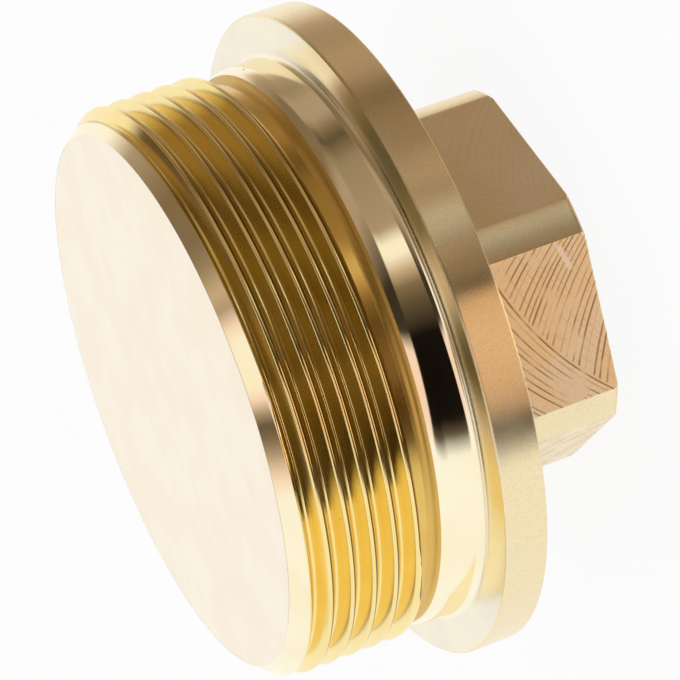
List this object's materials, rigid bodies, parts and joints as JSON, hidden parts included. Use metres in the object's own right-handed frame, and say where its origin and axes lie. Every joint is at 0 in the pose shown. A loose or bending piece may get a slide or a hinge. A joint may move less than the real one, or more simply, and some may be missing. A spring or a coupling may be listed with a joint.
{
  "type": "hex head plug",
  "caption": "Brass screw plug with a hexagon head, a thin round collar, a plain neck and a parallel pipe thread, for closing a threaded port.",
  "frame": {"origin": "centre of the head's end face, on which the plug stands", "axes": "+Z along the plug's axis from the head to the thread's end, +X out of one flat of the hexagon"},
  "size_m": [0.0676, 0.0676, 0.04],
  "materials": {
    "brass": "turned and milled, bare metal"
  },
  "bodies": {
    "root": {"plug_body": "brass"}
  },
  "joints": []
}
